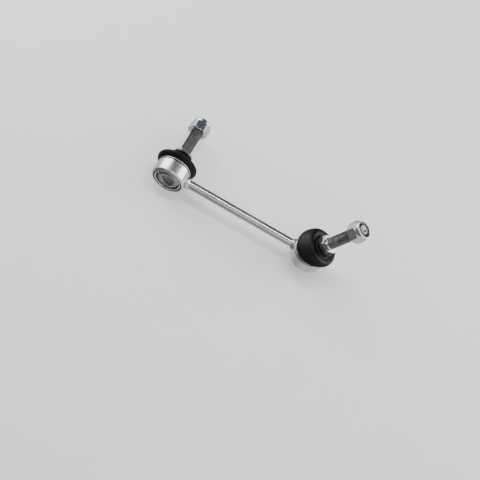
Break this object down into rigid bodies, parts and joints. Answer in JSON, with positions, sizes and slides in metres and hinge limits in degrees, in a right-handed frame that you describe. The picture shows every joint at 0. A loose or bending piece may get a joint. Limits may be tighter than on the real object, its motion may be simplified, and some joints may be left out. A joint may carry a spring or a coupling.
{
  "type": "stabilizer link",
  "caption": "Slim steel rod with a booted ball joint at each end, set square to each other; each stud has a hex collar, thread and self-locking nut.",
  "frame": {"origin": "centre of the seat face of stud A, the collar's face towards its nut", "axes": "+X along the rod from end A to end B, +Y along stud A away from its housing, +Z out of housing B towards its stud"},
  "size_m": [0.1851, 0.079, 0.076],
  "materials": {
    "zinc_steel": "bright zinc plate on turned and drawn steel",
    "weld_steel": "plated weld bead, slightly rippled",
    "cover_steel": "pressed steel, duller than the housing",
    "stud_steel": "rolled thread, dark phosphate and oil",
    "nut_steel": "bright zinc plate",
    "rubber": "smooth black rubber with a soft sheen",
    "ring_steel": "zinc-plated spring wire",
    "dark_ring": "blackened spring steel",
    "nylon": "dark blue-black nylon",
    "seat_plastic": "natural acetal"
  },
  "bodies": {
    "link": {"rod": "zinc_steel", "weld_a": "weld_steel", "housing_a": "zinc_steel", "cover_plate_a": "cover_steel", "ball_seat_a": "seat_plastic", "boot_ring_a": "ring_steel", "weld_b": "weld_steel", "housing_b": "zinc_steel", "cover_plate_b": "cover_steel", "ball_seat_b": "seat_plastic", "boot_ring_b": "ring_steel"},
    "boot_a": {"boot_a": "rubber"},
    "boot_neck_a": {"neck_ring_a": "dark_ring"},
    "stud_a": {"ball_stud_a": "stud_steel"},
    "insert_a": {"nut_insert_a": "nylon"},
    "nut_a": {"lock_nut_a": "nut_steel"},
    "boot_b": {"boot_b": "rubber"},
    "boot_neck_b": {"neck_ring_b": "dark_ring"},
    "stud_b": {"ball_stud_b": "stud_steel"},
    "insert_b": {"nut_insert_b": "nylon"},
    "nut_b": {"lock_nut_b": "nut_steel"}
  },
  "joints": [
    {"name": "swivel_a", "type": "hinge", "parent": "link", "child": "boot_a", "pos_m": [0, -0.023, 0], "axis": [0, 1, 0], "continuous": true},
    {"name": "tilt_a", "type": "hinge", "parent": "boot_a", "child": "boot_neck_a", "pos_m": [0, -0.023, 0], "axis": [1, 0, 0], "range_deg": [-30, 30], "deforming": ["boot_a"]},
    {"name": "spin_a", "type": "hinge", "parent": "boot_neck_a", "child": "stud_a", "pos_m": [0, -0.023, 0], "axis": [0, 1, 0], "continuous": true},
    {"name": "nut_travel_a", "type": "slide", "parent": "stud_a", "child": "insert_a", "axis": [0, 1, 0], "range_m": [-0.02475, 0.012]},
    {"name": "nut_turn_a", "type": "hinge", "parent": "insert_a", "child": "nut_a", "pos_m": [0, -0.023, 0], "axis": [0, 1, 0], "range_deg": [-5940, 2880]},
    {"name": "swivel_b", "type": "hinge", "parent": "link", "child": "boot_b", "pos_m": [0.135, -0.0242, 0.0012], "axis": [0, 0, 1], "continuous": true},
    {"name": "tilt_b", "type": "hinge", "parent": "boot_b", "child": "boot_neck_b", "pos_m": [0.135, -0.0242, 0.0012], "axis": [-0.4384, 0.8988, 0], "range_deg": [-57.5, 2.5], "deforming": ["boot_b"]},
    {"name": "spin_b", "type": "hinge", "parent": "boot_neck_b", "child": "stud_b", "pos_m": [0.135, -0.0242, 0.0012], "axis": [0.415, 0.2024, 0.887], "continuous": true},
    {"name": "nut_travel_b", "type": "slide", "parent": "stud_b", "child": "insert_b", "axis": [0.415, 0.2024, 0.887], "range_m": [-0.02475, 0.012]},
    {"name": "nut_turn_b", "type": "hinge", "parent": "insert_b", "child": "nut_b", "pos_m": [0.135, -0.0242, 0.0012], "axis": [0.415, 0.2024, 0.887], "range_deg": [-5940, 2880]}
  ],
  "couplings": [
    {"joint": "nut_travel_a", "follows": "nut_turn_a", "m_per_rad": 0.00023873},
    {"joint": "nut_travel_b", "follows": "nut_turn_b", "m_per_rad": 0.00023873}
  ]
}
